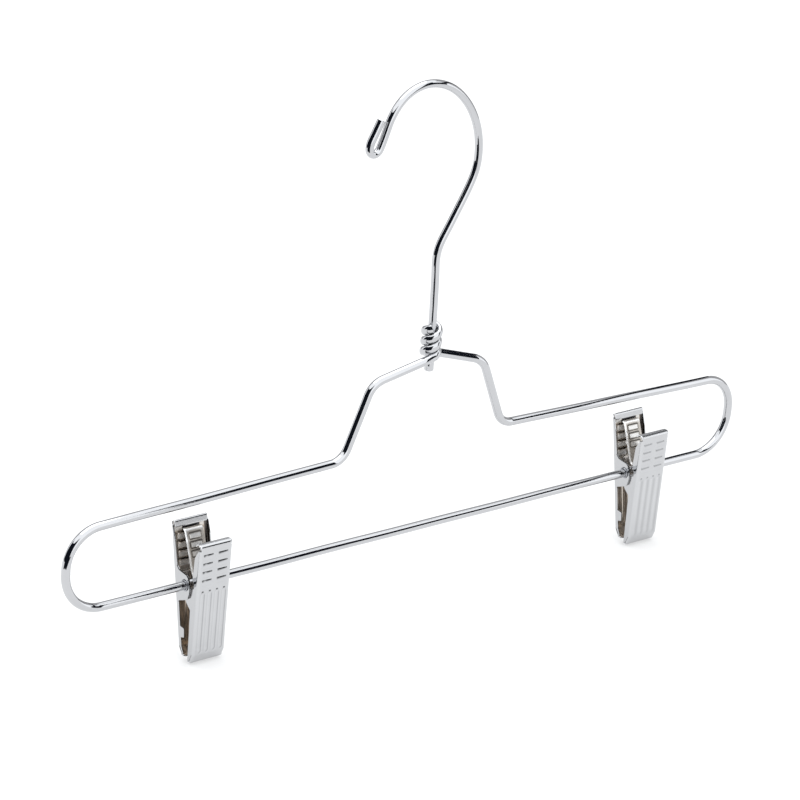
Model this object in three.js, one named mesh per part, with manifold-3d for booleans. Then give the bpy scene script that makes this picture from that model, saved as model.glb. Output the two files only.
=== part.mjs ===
// Clip hanger: a bent wire frame that turns on a wire hook, with two sprung
// sheet-metal clips that slide and swing on the lower bar.
// Millimetres, +Z up, +X along the bar, the front of the clips faces -Y.
// Origin: on the swivel axis, on the inside of the hook's crown.

import * as THREE from 'three';
import { mergeVertices } from 'three/addons/utils/BufferGeometryUtils.js';
import Module from 'manifold-3d';

const wasm = await Module();
wasm.setup();

// ---- driving dimensions -------------------------------------------------
const SEAT_ABOVE_BAR = 188.0;   // hook seat above the centre of the lower bar
const Z_BAR = -SEAT_ABOVE_BAR;

// frame wire
const FRAME_D = 3.7;            // wire diameter
const FRAME_W = 355;            // overall width
const RAIL_H = 34.4;            // upper rail above the bar, at the ends
const RAIL_RISE = 3.3;          // extra rail height at the shoulders
const END_R_LOW = 17.6;         // bend radius, bar to end
const END_R_TOP = 15.3;         // bend radius, end to rail
const SHOULDER_X_LOW = 42.1;    // where the rail turns up
const SHOULDER_R_LOW = 8.6;
const SHOULDER_X_TOP = 29.2;    // where the shoulder turns in
const SHOULDER_Z_TOP = 68.8;
const SHOULDER_R_TOP = 10.4;
const COIL_Z = 76.5;            // where both strands start round the stem
const COIL_PITCH = 8.9;         // per turn of one strand
const COIL_TURNS = 1.4;
const COIL_R = 3.3;            // centre line of the coil; its inside is pressed flat to the stem
const STEM_GAP = 0.25;          // running gap between stem and coil

// hook wire
const HOOK_D = 3.4;
const HEAD_R = 2.15;            // headed lower end of the stem
const HEAD_Z0 = 69.4;
const HEAD_Z1 = 73.6;
// centre line of the hook above the bar, [x, z]
const HOOK_LINE = [
  [0, 113.0], [-0.35, 117.4], [0.35, 122.1], [2.35, 126.4], [7.1, 134.8], [12.1, 143.1],
  [15.9, 151.6], [17.1, 161.8], [15.0, 172.1], [9.2, 182.2], [-0.5, 190.3], [-12.6, 193.2],
  [-22.9, 189.8], [-29.2, 182.9], [-32.0, 175.7], [-33.9, 170.8], [-35.3, 168.2], [-37.6, 167.3],
  [-39.6, 168.8], [-39.7, 171.5], [-37.2, 176.7], [-34.9, 181.2],
];

// clips
const CLIP_X = { left: -109.5, right: 125.0 };  // centre along the bar
const CLIP_LEAN = { left: 5.2, right: 4.7 };    // degrees, top leaning back at rest
const SHEET = 0.6;              // sheet thickness
const FRONT_W = 15.9;           // front jaw width
const REAR_W = 17.4;            // rear jaw width, its ears lie outside
const FRONT_TOP = 19.1;         // top of the front jaw above the bar
const REAR_TOP = 24.7;          // top of the rear jaw above the bar
const MOUTH_Z = -32.7;          // bottom of the front jaw below the bar
const BEND_Z = -29.2;           // where its bevelled lip starts
const REAR_MOUTH_Z = -30.5;     // the rear jaw sits higher
const REAR_BEND_Z = -27.0;
const FRONT_HALF = 9.9;         // from the pivot to the outside of the front handle
const REAR_HALF = 9.09;         // and of the rear handle
const HALF_BEND = 4.2;          // half depth at the bevel
const HALF_TIP = 2.3;           // half depth at the mouth
const MOUTH_HALF_GAP = 0.2;     // half the gap between the closed lips
const ROLL_R = 2.0;             // rolled top of each handle
const ROLL_TAIL = 1.6;          // straight tail of the roll, pointing down inside
const PIVOT_HOLE_R = 2.3;       // hole in the ears
const TUBE_RI = 1.95;           // pivot tube bore
const TUBE_RO = 2.15;
const TUBE_RIM_R = 2.5;         // rolled rim outside the ears
const TUBE_HALF = 9.5;
const TUBE_RIM = 0.65;
const SPRING_W = 9.0;
const SPRING_T = 0.5;

// ---- materials ----------------------------------------------------------
const chrome = () => new THREE.MeshStandardMaterial({ color: 0xd9dce0, roughness: 0.12, metalness: 1.0 });
const satin = () => new THREE.MeshStandardMaterial({ color: 0xcfd1d4, roughness: 0.28, metalness: 1.0 });
const nickel = () => new THREE.MeshStandardMaterial({ color: 0xb7a792, roughness: 0.3, metalness: 1.0 });
const dark = () => new THREE.MeshStandardMaterial({ color: 0xa9abb0, roughness: 0.2, metalness: 1.0 });

// ---- helpers ------------------------------------------------------------
const V = (x, y, z) => new THREE.Vector3(x, y, z);
const rad = (d) => (d * Math.PI) / 180;

// a path that is exactly the given list of points
class WirePath extends THREE.Curve {
  constructor(points) {
    super();
    this.pts = points;
    this.tan = points.map((p, i) => {
      const a = points[Math.max(i - 1, 0)];
      const b = points[Math.min(i + 1, points.length - 1)];
      const d1 = p.clone().sub(a).normalize();
      const d2 = b.clone().sub(p).normalize();
      return d1.add(d2).normalize();
    });
  }
  index(t) { return Math.round(t * (this.pts.length - 1)); }
  getPoint(t, target = new THREE.Vector3()) { return target.copy(this.pts[this.index(t)]); }
  getPointAt(t, target) { return this.getPoint(t, target); }
  getTangent(t, target = new THREE.Vector3()) { return target.copy(this.tan[this.index(t)]); }
  getTangentAt(t, target) { return this.getTangent(t, target); }
}

// straight stretches with an arc at each inner corner
function filleted(corners, radii, stepDeg = 15) {
  const out = [corners[0].clone()];
  for (let i = 1; i < corners.length - 1; i++) {
    const p = corners[i];
    const u = corners[i - 1].clone().sub(p).normalize();
    const w = corners[i + 1].clone().sub(p).normalize();
    const turn = Math.PI - Math.acos(THREE.MathUtils.clamp(u.dot(w), -1, 1));
    const r = radii[i - 1];
    const cut = r * Math.tan(turn / 2);
    const bis = u.clone().add(w).normalize();
    const centre = p.clone().addScaledVector(bis, r / Math.cos(turn / 2));
    const a = p.clone().addScaledVector(u, cut).sub(centre);
    const axis = V(0, 0, 0).crossVectors(u, w).normalize();
    const n = Math.max(2, Math.ceil(turn / rad(stepDeg)));
    for (let k = 0; k <= n; k++) {
      out.push(centre.clone().add(a.clone().applyAxisAngle(axis, -(turn * k) / n)));
    }
  }
  out.push(corners[corners.length - 1].clone());
  return out;
}

function wire(points, diameter, sides = 10) {
  const section = new THREE.Shape();
  for (let k = 0; k < sides; k++) {
    const a = (2 * Math.PI * (k + 0.5)) / sides;
    const x = (diameter / 2) * Math.cos(a);
    const y = (diameter / 2) * Math.sin(a);
    if (k === 0) section.moveTo(x, y); else section.lineTo(x, y);
  }
  section.closePath();
  return new THREE.ExtrudeGeometry(section, { steps: points.length - 1, extrudePath: new WirePath(points), bevelEnabled: false });
}

function solid(geometry) {
  const g = geometry.clone();
  g.deleteAttribute('normal');
  g.deleteAttribute('uv');
  const m = mergeVertices(g, 1e-4);
  return new wasm.Manifold(new wasm.Mesh({
    numProp: 3,
    vertProperties: new Float32Array(m.attributes.position.array),
    triVerts: new Uint32Array(m.index.array),
  }));
}

function geometry(manifold) {
  const m = manifold.getMesh();
  const g = new THREE.BufferGeometry();
  g.setAttribute('position', new THREE.BufferAttribute(new Float32Array(m.vertProperties), 3));
  g.setIndex(new THREE.BufferAttribute(new Uint32Array(m.triVerts), 1));
  g.computeVertexNormals();
  return g;
}

// a side-view outline [y, z] made into a plate between x0 and x1
const ACROSS = new THREE.Matrix4().makeBasis(V(0, 1, 0), V(0, 0, 1), V(1, 0, 0));
function plate(outline, x0, x1) {
  const s = new THREE.Shape(outline.map(([y, z]) => new THREE.Vector2(y, z)));
  const g = new THREE.ExtrudeGeometry(s, { depth: x1 - x0, bevelEnabled: false });
  g.applyMatrix4(ACROSS);
  g.translate(x0, 0, 0);
  return g;
}

// a sheet: a line [y, z] thickened to its left
function sheet(line, t) {
  const v = line.map(([y, z]) => new THREE.Vector2(y, z));
  const side = v.map((p, i) => {
    const d1 = i > 0 ? p.clone().sub(v[i - 1]).normalize() : v[1].clone().sub(p).normalize();
    const d2 = i < v.length - 1 ? v[i + 1].clone().sub(p).normalize() : d1;
    const n1 = new THREE.Vector2(-d1.y, d1.x);
    const n2 = new THREE.Vector2(-d2.y, d2.x);
    const m = n1.clone().add(n2).normalize();
    return p.clone().addScaledVector(m, t / Math.max(0.35, m.dot(n1)));
  });
  return [...v, ...side.reverse()].map((p) => [p.x, p.y]);
}

const arc = (r, from, to, n) => Array.from({ length: n + 1 }, (_, k) => {
  const a = rad(from + ((to - from) * k) / n);
  return [r * Math.cos(a), r * Math.sin(a)];
});
const mirrored = (outline) => outline.map(([y, z]) => [-y, z]).reverse();

const hanger = new THREE.Group();
hanger.name = 'clip_hanger';
function part(parent, name, geom, material) {
  const mesh = new THREE.Mesh(geom, material);
  mesh.name = name;
  parent.add(mesh);
  return mesh;
}

// ---- frame wire: bar, end loops, rails, shoulders and the coil ------------
const coilR = COIL_R;
const xe = (FRAME_W - FRAME_D) / 2;
const armX = 6.0;
const ARM_DROP = 1.25;          // the arms come in a little below the coil
const halfFrame = filleted([
  V(0, 0, 0), V(xe, 0, 0), V(xe, 0, RAIL_H), V(SHOULDER_X_LOW, 0, RAIL_H + RAIL_RISE),
  V(SHOULDER_X_TOP, 0, SHOULDER_Z_TOP), V(armX, coilR, COIL_Z - ARM_DROP), V(0, coilR, COIL_Z),
], [END_R_LOW, END_R_TOP, SHOULDER_R_LOW, SHOULDER_R_TOP, 18]);
const coilSteps = Math.round((COIL_TURNS * 360) / 20);
for (let k = 1; k <= coilSteps; k++) {
  const a = rad(90 + (COIL_TURNS * 360 * k) / coilSteps);
  halfFrame.push(V(coilR * Math.cos(a), coilR * Math.sin(a), COIL_Z + (COIL_PITCH * COIL_TURNS * k) / coilSteps));
}
const otherHalf = halfFrame.slice(1).map((p) => V(-p.x, -p.y, p.z)).reverse();
const framePath = [...otherHalf, ...halfFrame.slice(1)];
const frame = new THREE.Group();
frame.position.set(0, 0, Z_BAR);
hanger.add(frame);
const swivelBore = new THREE.CylinderGeometry(HOOK_D / 2 + STEM_GAP, HOOK_D / 2 + STEM_GAP, 40, 20);
swivelBore.rotateX(Math.PI / 2);
swivelBore.translate(0, 0, COIL_Z + 5);
part(frame, 'frame_wire', geometry(solid(wire(framePath, FRAME_D)).subtract(solid(swivelBore))), chrome());

// ---- hook wire: headed stem, bowed neck, crown and folded-back tip --------
const crown = new THREE.CatmullRomCurve3(HOOK_LINE.map(([x, z]) => V(x, 0, z)), false, 'centripetal');
const hookPath = [V(0, 0, HEAD_Z0 + 1.2), V(0, 0, 108)];
const spans = HOOK_LINE.length - 1;
for (let i = 0; i < spans; i++) {
  const n = i < 4 ? 2 : i < 6 ? 1 : i < 13 ? 3 : i < 15 ? 1 : 2;
  for (let k = 0; k < n; k++) hookPath.push(crown.getPoint((i + k / n) / spans));
}
hookPath.push(crown.getPoint(1));
const head = new THREE.LatheGeometry([
  new THREE.Vector2(0, HEAD_Z0), new THREE.Vector2(HEAD_R - 0.5, HEAD_Z0), new THREE.Vector2(HEAD_R, HEAD_Z0 + 0.6),
  new THREE.Vector2(HEAD_R, HEAD_Z1 - 0.5), new THREE.Vector2(1.0, HEAD_Z1), new THREE.Vector2(0, HEAD_Z1),
], 12);
head.rotateX(Math.PI / 2);
const hookBody = solid(wire(hookPath, HOOK_D)).add(solid(head));
const hook = part(hanger, 'hook_wire', geometry(hookBody), chrome());
hook.position.set(0, 0, Z_BAR);

// ---- clips ----------------------------------------------------------------
// All outlines are side views [y, z] about the pivot, front jaw towards -y.
const slopeF = (FRONT_HALF - HALF_BEND) / (FRONT_TOP - BEND_Z);
const slopeR = (REAR_HALF - HALF_BEND) / (REAR_TOP - BEND_Z);
const outF = (z) => -(HALF_BEND + (z - BEND_Z) * slopeF);
const outR = (z) => HALF_BEND + (z - BEND_Z) * slopeR;

function jawLine(top, out, bend, mouth) {          // outside line of a front jaw, rolled top to mouth
  const cy = out(top - ROLL_R) + ROLL_R;
  const cz = top - ROLL_R;
  const roll = [135, 108, 81, 54, 27, 0].map((d) => [cy - ROLL_R * Math.cos(rad(d)), cz + ROLL_R * Math.sin(rad(d))]);
  const [ty, tz] = roll[0];
  return [
    [ty + ROLL_TAIL * Math.SQRT1_2, tz - ROLL_TAIL * Math.SQRT1_2], ...roll,
    [out(bend), bend], [-HALF_TIP, mouth], [-MOUTH_HALF_GAP, mouth],
  ];
}

// front jaw: the ears are hooks that pass under and behind the pivot tube
const inset = SHEET / 2;
const frontFlange = [
  [outF(17.0) + inset, 17.0],
  [outF(BEND_Z) + inset, BEND_Z], [-HALF_TIP + inset, MOUTH_Z + inset],
  [-MOUTH_HALF_GAP - 0.6, MOUTH_Z + inset], [-0.9, MOUTH_Z + 1.3],
  [-2.75, -10.1], [0.0, -7.5], ...arc(4.5, -62, 60, 8), ...arc(PIVOT_HOLE_R, 60, -122, 12),
  [-4.5, -2.25], [-5.3, -1.5], [-5.4, 1.6], [-4.6, 2.45], [-2.9, 2.5], [outF(3.2) + 4.6, 3.2],
  [outF(13.5) + 3.7, 13.5],
];

// rear jaw (drawn as a front jaw, then mirrored): closed ears outside the hooks
const outRm = (z) => -outR(z);
const rearFlange = [
  [outRm(REAR_TOP - 2.0) + inset, REAR_TOP - 2.0],
  [outRm(REAR_BEND_Z) + inset, REAR_BEND_Z], [-HALF_TIP + inset, REAR_MOUTH_Z + inset],
  [-1.9, REAR_MOUTH_Z + 0.5], [outRm(-26.2) + 2.1, -26.0], [outRm(-22.8) + 2.1, -22.8],
  [-0.6, -22.4], [-0.6, -18.4], [outRm(-17.9) + 2.1, -17.9], [outRm(-8.2) + 2.2, -8.2], [-4.1, -7.6],
  [0.6, -6.1], [2.4, -5.0], [3.4, -2.9], [3.75, -0.8], [3.65, 1.3], [2.9, 3.3], [1.5, 4.6],
  [-3.6, 5.6], [-4.9, 6.9], [outRm(9) + 2.6, 9], [outRm(20) + 2.4, 20.0],
];

function jaw(width, line, flange, holeR, flip) {
  const o = (pts) => (flip ? mirrored(pts) : pts);
  let body = solid(plate(o(sheet(line, SHEET)), -width / 2, width / 2));
  for (const x of [-width / 2, width / 2 - SHEET]) body = body.add(solid(plate(o(flange), x, x + SHEET)));
  if (holeR) {
    const bore = new THREE.CylinderGeometry(holeR, holeR, width + 4, 16);
    bore.rotateZ(Math.PI / 2);
    body = body.subtract(solid(bore));
  }
  return geometry(body);
}

// leaf spring: a V standing on the pivot tube, pushing the handles apart
const springLine = [
  [outR(20.9) - 1.3, 21.5], [6.0, 21.2], [5.35, 20.2],
  [1.15, 5.2], [0.75, 3.9], [-0.1, 3.05], [-1.1, 3.3], [-1.75, 4.3],
  [-6.6, 14.6], [outF(15.8) + 1.4, 15.8],
];

function clip(side) {
  const g = new THREE.Group();
  g.position.set(CLIP_X[side], 0, Z_BAR);
  hanger.add(g);
  const swung = new THREE.Group();
  swung.rotation.x = rad(-CLIP_LEAN[side]);
  g.add(swung);

  part(swung, `${side}_front_jaw`, jaw(FRONT_W, jawLine(FRONT_TOP, outF, BEND_Z, MOUTH_Z), frontFlange, 0, false), satin());
  part(swung, `${side}_rear_jaw`, jaw(REAR_W, jawLine(REAR_TOP, outRm, REAR_BEND_Z, REAR_MOUTH_Z), rearFlange, PIVOT_HOLE_R, true), satin());
  part(swung, `${side}_leaf_spring`, plate(sheet(springLine, SPRING_T), -SPRING_W / 2, SPRING_W / 2), nickel());

  const profile = [
    [TUBE_RI, -TUBE_HALF], [TUBE_RIM_R, -TUBE_HALF], [TUBE_RIM_R, -TUBE_HALF + TUBE_RIM], [TUBE_RO, -TUBE_HALF + TUBE_RIM],
    [TUBE_RO, TUBE_HALF - TUBE_RIM], [TUBE_RIM_R, TUBE_HALF - TUBE_RIM], [TUBE_RIM_R, TUBE_HALF], [TUBE_RI, TUBE_HALF],
    [TUBE_RI, -TUBE_HALF],
  ].map(([r, h]) => new THREE.Vector2(r, h));
  const tube = new THREE.LatheGeometry(profile, 16);
  tube.rotateZ(-Math.PI / 2);
  part(g, `${side}_pivot_tube`, tube, dark());
}
clip('left');
clip('right');

export default hanger;
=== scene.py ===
import math

import bpy
import numpy as np
from mathutils import Matrix
from mathutils.geometry import delaunay_2d_cdt


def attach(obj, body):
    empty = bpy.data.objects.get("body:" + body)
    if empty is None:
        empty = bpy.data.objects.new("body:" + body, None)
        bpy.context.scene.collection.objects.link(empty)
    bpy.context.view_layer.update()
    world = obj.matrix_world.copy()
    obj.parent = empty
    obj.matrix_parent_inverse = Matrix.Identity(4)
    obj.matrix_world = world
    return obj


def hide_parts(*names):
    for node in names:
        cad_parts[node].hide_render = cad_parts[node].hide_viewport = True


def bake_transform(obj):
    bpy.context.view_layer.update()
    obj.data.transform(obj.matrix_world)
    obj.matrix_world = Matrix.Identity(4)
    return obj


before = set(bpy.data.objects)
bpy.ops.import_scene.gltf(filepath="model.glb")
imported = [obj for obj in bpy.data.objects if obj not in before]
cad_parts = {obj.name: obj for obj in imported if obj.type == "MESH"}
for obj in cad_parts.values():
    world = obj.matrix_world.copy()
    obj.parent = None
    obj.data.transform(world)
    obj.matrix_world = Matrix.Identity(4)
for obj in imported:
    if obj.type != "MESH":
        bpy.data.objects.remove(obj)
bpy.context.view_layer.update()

# ---------------------------------------------------------------------------
# Sizes, in millimetres about the centre of the lower bar, as in the CAD
# ---------------------------------------------------------------------------
MM = 0.001
Z_BAR = -188.0

FRAME_D, FRAME_W = 3.7, 355.0
RAIL_H, RAIL_RISE = 34.4, 3.3
END_R_LOW, END_R_TOP = 17.6, 15.3
SHOULDER_X_LOW, SHOULDER_R_LOW = 42.1, 8.6
SHOULDER_X_TOP, SHOULDER_Z_TOP, SHOULDER_R_TOP = 29.2, 68.8, 10.4
COIL_Z, COIL_PITCH, COIL_TURNS, COIL_R = 76.5, 8.9, 1.4, 3.21
COIL_FLAT = 0.70                # wound hard, the wire is this much thinner towards the stem
ARM_X, ARM_DROP = 6.0, 1.25

HOOK_D = 3.4
HEAD_R, HEAD_Z0, HEAD_Z1 = 1.98, 69.4, 73.6
HOOK_LINE = [
    (0, 113.0), (-0.35, 117.4), (0.35, 122.1), (2.35, 126.4), (7.1, 134.8), (12.1, 143.1),
    (15.9, 151.6), (17.1, 161.8), (15.0, 172.1), (9.2, 182.2), (-0.5, 190.3), (-12.6, 193.2),
    (-22.9, 189.8), (-29.2, 182.9), (-32.0, 175.7), (-33.9, 170.8), (-35.3, 168.2), (-37.6, 167.3),
    (-39.6, 168.8), (-39.7, 171.5), (-37.2, 176.7), (-34.9, 181.2),
]

CLIP_X = {"left": -109.5, "right": 125.0}
CLIP_LEAN = {"left": 5.2, "right": 4.7}
SHEET = 0.6
FRONT_W, REAR_W = 15.9, 17.4
FRONT_TOP, REAR_TOP = 19.1, 24.7
FRONT_BEND, FRONT_MOUTH = -29.2, -32.7
REAR_BEND, REAR_MOUTH = -27.0, -30.5
SLOPE_Z, HALF_LOW, FRONT_HALF, REAR_HALF = -29.2, 4.2, 9.9, 9.09
HALF_TIP, MOUTH_HALF_GAP = 2.3, 0.2
# rolled tops: bends as (radius, degrees), then the straight tail
FRONT_ROLL = [(0.9, 45.0), (2.3, 95.0)], 1.4
REAR_ROLL = [(0.75, 140.0), (0.25, 37.0)], 2.5
PIVOT_HOLE_R = 2.3
TUBE_RI, TUBE_RO, TUBE_RIM_R, TUBE_HALF, TUBE_RIM = 1.95, 2.15, 2.34, 9.2, 0.35
SPRING_W, SPRING_T = 9.0, 0.5

rng = np.random.default_rng(11)


# ---------------------------------------------------------------------------
# Lines
# ---------------------------------------------------------------------------
def unit(v):
    return v / np.linalg.norm(v)


def filleted(corners, radii, step_deg):
    """Straight stretches with an arc at each inner corner."""
    pts = [np.array(tuple(c) + (0.0,) * (3 - len(c)), float) for c in corners]
    out = [pts[0]]
    for i in range(1, len(pts) - 1):
        p = pts[i]
        u, w = unit(pts[i - 1] - p), unit(pts[i + 1] - p)
        turn = math.pi - math.acos(max(-1.0, min(1.0, float(u @ w))))
        r = radii[i - 1]
        if r <= 0 or turn < 1e-5:
            out.append(p)
            continue
        cut = r * math.tan(turn / 2)
        centre = p + unit(u + w) * (r / math.cos(turn / 2))
        a = p + u * cut - centre
        axis = unit(np.cross(u, w))
        n = max(2, math.ceil(turn / math.radians(step_deg)))
        for k in range(n + 1):
            t = -turn * k / n
            out.append(centre + a * math.cos(t) + np.cross(axis, a) * math.sin(t))
    out.append(pts[-1])
    return np.array(out)


def resampled(pts, step):
    """The same line with points at most step apart, corners kept."""
    out = [pts[0]]
    for a, b in zip(pts[:-1], pts[1:]):
        n = max(1, math.ceil(float(np.linalg.norm(b - a)) / step))
        for k in range(1, n + 1):
            out.append(a + (b - a) * (k / n))
    return np.array(out)


def evenly(pts, step):
    d = np.r_[0, np.cumsum(np.linalg.norm(np.diff(pts, axis=0), axis=1))]
    n = max(2, int(round(d[-1] / step)))
    s = np.linspace(0, d[-1], n + 1)
    return np.stack([np.interp(s, d, pts[:, k]) for k in range(pts.shape[1])], 1)


def centripetal(points, per_span):
    p = np.array(points, float)
    p = np.vstack([2 * p[0] - p[1], p, 2 * p[-1] - p[-2]])
    out = []
    for i in range(1, len(p) - 2):
        x0, x1, x2, x3 = p[i - 1], p[i], p[i + 1], p[i + 2]
        d0, d1, d2 = (math.sqrt(float(np.linalg.norm(b - a))) for a, b in ((x0, x1), (x1, x2), (x2, x3)))
        t1 = ((x1 - x0) / d0 - (x2 - x0) / (d0 + d1) + (x2 - x1) / d1) * d1
        t2 = ((x2 - x1) / d1 - (x3 - x1) / (d1 + d2) + (x3 - x2) / d2) * d1
        c2 = -3 * x1 + 3 * x2 - 2 * t1 - t2
        c3 = 2 * x1 - 2 * x2 + t1 + t2
        for k in range(per_span):
            t = k / per_span
            out.append(x1 + t1 * t + c2 * t * t + c3 * t ** 3)
    out.append(p[-2])
    return np.array(out)


def smoothstep(lo, hi, x):
    t = np.clip((x - lo) / (hi - lo), 0, 1)
    return t * t * (3 - 2 * t)


# ---------------------------------------------------------------------------
# Meshes
# ---------------------------------------------------------------------------
def mesh_object(name, verts, faces, materials, face_material=None, uvs=None, sharp=32, tone=None):
    me = bpy.data.meshes.new(name)
    me.from_pydata((np.asarray(verts, float) * MM).tolist(), [], [list(map(int, f)) for f in faces])
    for m in materials:
        me.materials.append(m)
    if face_material is not None:
        me.polygons.foreach_set("material_index", np.asarray(face_material, np.int32))
    me.polygons.foreach_set("use_smooth", np.ones(len(me.polygons), bool))
    if uvs is not None:
        layer = me.uv_layers.new(name="along")
        layer.data.foreach_set("uv", np.asarray(uvs, np.float32).ravel())
    if tone is not None:
        me.attributes.new("tone", "FLOAT", "POINT").data.foreach_set("value", np.asarray(tone, np.float32))
    me.update()
    me.set_sharp_from_angle(angle=math.radians(sharp))
    me.validate()
    ob = bpy.data.objects.new(name, me)
    bpy.context.scene.collection.objects.link(ob)
    return ob


def painted(ob, name, values):
    """A number at each vertex, for the materials."""
    ob.data.attributes.new(name, "FLOAT", "POINT").data.foreach_set("value", np.asarray(values, np.float32))


def rounded_wire(path, radius, sides=28, chamfer=0.18, flat=None):
    """A round wire along a path, with lightly broken square-cut ends. Returns verts, faces, uvs.
    flat: for each path point, how much thinner the wire is towards the Z axis."""
    path = np.asarray(path, float)
    seg = np.diff(path, axis=0)
    seg /= np.linalg.norm(seg, axis=1)[:, None]
    tan = np.vstack([seg[:1], seg[:-1] + seg[1:], seg[-1:]])
    tan /= np.linalg.norm(tan, axis=1)[:, None]
    along = np.r_[0, np.cumsum(np.linalg.norm(np.diff(path, axis=0), axis=1))]
    ref = np.array([0.0, 1.0, 0.0]) if abs(tan[0][1]) < 0.8 else np.array([1.0, 0.0, 0.0])
    nrm = unit(ref - tan[0] * (ref @ tan[0]))
    normals = []
    for i, t in enumerate(tan):
        nrm = unit(nrm - t * (nrm @ t))
        normals.append(nrm)
    rings = []
    for i in range(len(path)):
        rings.append((path[i], tan[i], normals[i], radius, along[i]))
    flat = np.zeros(len(path)) if flat is None else flat
    flat = np.r_[flat[0], flat, flat[-1]]
    first, last = rings[0], rings[-1]
    r0 = (first[0], first[1], first[2], radius - chamfer, 0.0)
    r1 = (first[0] + first[1] * chamfer, first[1], first[2], radius, chamfer)
    r2 = (last[0] - last[1] * chamfer, last[1], last[2], radius, along[-1] - chamfer)
    r3 = (last[0], last[1], last[2], radius - chamfer, along[-1])
    rings = [r0, r1] + rings[1:-1] + [r2, r3]
    verts, ang = [], 2 * np.pi * np.arange(sides) / sides
    for (c, t, n, r, _), thin in zip(rings, flat):
        b = np.cross(t, n)
        o = r * (np.cos(ang)[:, None] * n + np.sin(ang)[:, None] * b)
        if thin > 0:
            e = unit(np.array([c[0], c[1], 0.0]))
            o = o - thin * (o @ e)[:, None] * e
        verts.append(c + o)
    verts = np.vstack(verts)
    faces, uvs = [], []
    for i in range(len(rings) - 1):
        s0, s1 = rings[i][4], rings[i + 1][4]
        for k in range(sides):
            j = (k + 1) % sides
            faces.append((i * sides + k, i * sides + j, (i + 1) * sides + j, (i + 1) * sides + k))
            v0, v1 = k / sides * 2 * np.pi * radius, (k + 1) / sides * 2 * np.pi * radius
            uvs += [(s0 * MM, v0 * MM), (s0 * MM, v1 * MM), (s1 * MM, v1 * MM), (s1 * MM, v0 * MM)]
    for ring, centre, flip in ((0, rings[0][0], True), (len(rings) - 1, rings[-1][0], False)):
        c = len(verts)
        verts = np.vstack([verts, centre])
        for k in range(sides):
            j = (k + 1) % sides
            a, b = ring * sides + k, ring * sides + j
            faces.append((c, b, a) if flip else (c, a, b))
            uvs += [(0.0, 0.0), (0.001, 0.0), (0.0, 0.001)]
    return verts, faces, uvs


def lathe_x(profile, steps):
    """A closed profile of (x, r) turned about X."""
    prof = np.asarray(profile, float)
    ang = 2 * np.pi * np.arange(steps) / steps
    verts = np.vstack([np.stack([prof[:, 0], prof[:, 1] * math.cos(a), prof[:, 1] * math.sin(a)], 1) for a in ang])
    n, faces, uvs = len(prof), [], []
    for k in range(steps):
        j = (k + 1) % steps
        for i in range(n):
            m = (i + 1) % n
            faces.append((k * n + i, k * n + m, j * n + m, j * n + i))
            for q, w in ((i, k), (m, k), (m, k + 1), (i, k + 1)):
                uvs.append((prof[q, 0] * MM, prof[q, 1] * w / steps * 2 * np.pi * MM))
    return verts, faces, uvs


def inside(points, loop):
    """Which points lie inside a closed loop."""
    x, y = points[:, 0], points[:, 1]
    hit = np.zeros(len(points), bool)
    a, b = loop, np.roll(loop, -1, axis=0)
    for (x0, y0), (x1, y1) in zip(a, b):
        if y0 == y1:
            continue
        cross = (y0 > y) != (y1 > y)
        hit ^= cross & (x < (x1 - x0) * (y - y0) / (y1 - y0) + x0)
    return hit


def nearest(points, loop):
    """Distance from each point to a closed loop."""
    best = np.full(len(points), 1e9)
    a, b = loop, np.roll(loop, -1, axis=0)
    for p, q in zip(a, b):
        d = q - p
        t = np.clip(((points - p) @ d) / max(float(d @ d), 1e-12), 0, 1)
        best = np.minimum(best, np.linalg.norm(points - (p + t[:, None] * d), axis=1))
    return best


def soften(loop, r):
    """A closed outline with its corners rounded by about r."""
    loop = np.asarray(loop, float)
    out, n = [], len(loop)
    for i in range(n):
        p, a, b = loop[i], loop[i - 1], loop[(i + 1) % n]
        la, lb = np.linalg.norm(a - p), np.linalg.norm(b - p)
        u, w = (a - p) / la, (b - p) / lb
        turn = math.pi - math.acos(max(-1.0, min(1.0, float(u @ w))))
        if turn < math.radians(14):
            out.append(p)
            continue
        cut = min(r * math.tan(turn / 2), 0.42 * la, 0.42 * lb)
        m = max(2, math.ceil(turn / math.radians(15)))
        for k in range(m + 1):
            t = k / m
            out.append((1 - t) ** 2 * (p + u * cut) + 2 * t * (1 - t) * p + t * t * (p + w * cut))
    return np.array(out)


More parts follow.
